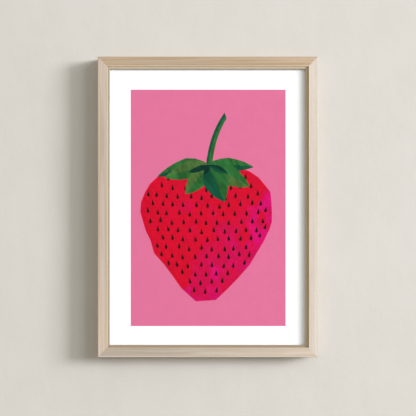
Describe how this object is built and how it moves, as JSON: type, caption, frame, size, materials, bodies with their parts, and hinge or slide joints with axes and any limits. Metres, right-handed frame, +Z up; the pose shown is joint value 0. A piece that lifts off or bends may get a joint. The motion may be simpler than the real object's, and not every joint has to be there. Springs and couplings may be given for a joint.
{
  "type": "framed print",
  "caption": "Rectangular mitred pale wood picture frame holding a glazed sheet with a wide white margin, hung upright on a wall.",
  "frame": {"origin": "the point in the wall's plane at the centre notch of the top hanger, where a nail carries the frame", "axes": "+Z up along the frame's height; the picture faces -Y and the wall's face is the plane Y = 0; +X to the viewer's right"},
  "size_m": [0.55, 0.033, 0.75],
  "materials": {
    "pale_wood": "pale open-grained hardwood, thin matt limed finish",
    "clear_glazing": "clear, low reflection",
    "print_paper": "smooth matt art paper with printed colours",
    "fibreboard": "raw brown fibreboard",
    "plated_steel": "bright zinc plate",
    "felt_pad": "dense grey felt"
  },
  "bodies": {
    "root": {"rail_top": "pale_wood", "rail_right": "pale_wood", "rail_bottom": "pale_wood", "rail_left": "pale_wood", "glazing": "clear_glazing", "print": "print_paper", "back_panel": "fibreboard", "tab_top_1": "plated_steel", "tab_top_2": "plated_steel", "tab_top_3": "plated_steel", "tab_right_1": "plated_steel", "tab_right_2": "plated_steel", "tab_right_3": "plated_steel", "tab_right_4": "plated_steel", "tab_bottom_1": "plated_steel", "tab_bottom_2": "plated_steel", "tab_bottom_3": "plated_steel", "tab_left_1": "plated_steel", "tab_left_2": "plated_steel", "tab_left_3": "plated_steel", "tab_left_4": "plated_steel", "v_nail_top_right_1": "plated_steel", "v_nail_top_right_2": "plated_steel", "v_nail_bottom_right_1": "plated_steel", "v_nail_bottom_right_2": "plated_steel", "v_nail_bottom_left_1": "plated_steel", "v_nail_bottom_left_2": "plated_steel", "v_nail_top_left_1": "plated_steel", "v_nail_top_left_2": "plated_steel", "hanger_top": "plated_steel", "hanger_top_screw_1": "plated_steel", "hanger_top_screw_2": "plated_steel", "hanger_side": "plated_steel", "hanger_side_screw_1": "plated_steel", "hanger_side_screw_2": "plated_steel", "pad_top_left": "felt_pad", "pad_top_right": "felt_pad", "pad_bottom_left": "felt_pad", "pad_bottom_right": "felt_pad"}
  },
  "joints": []
}
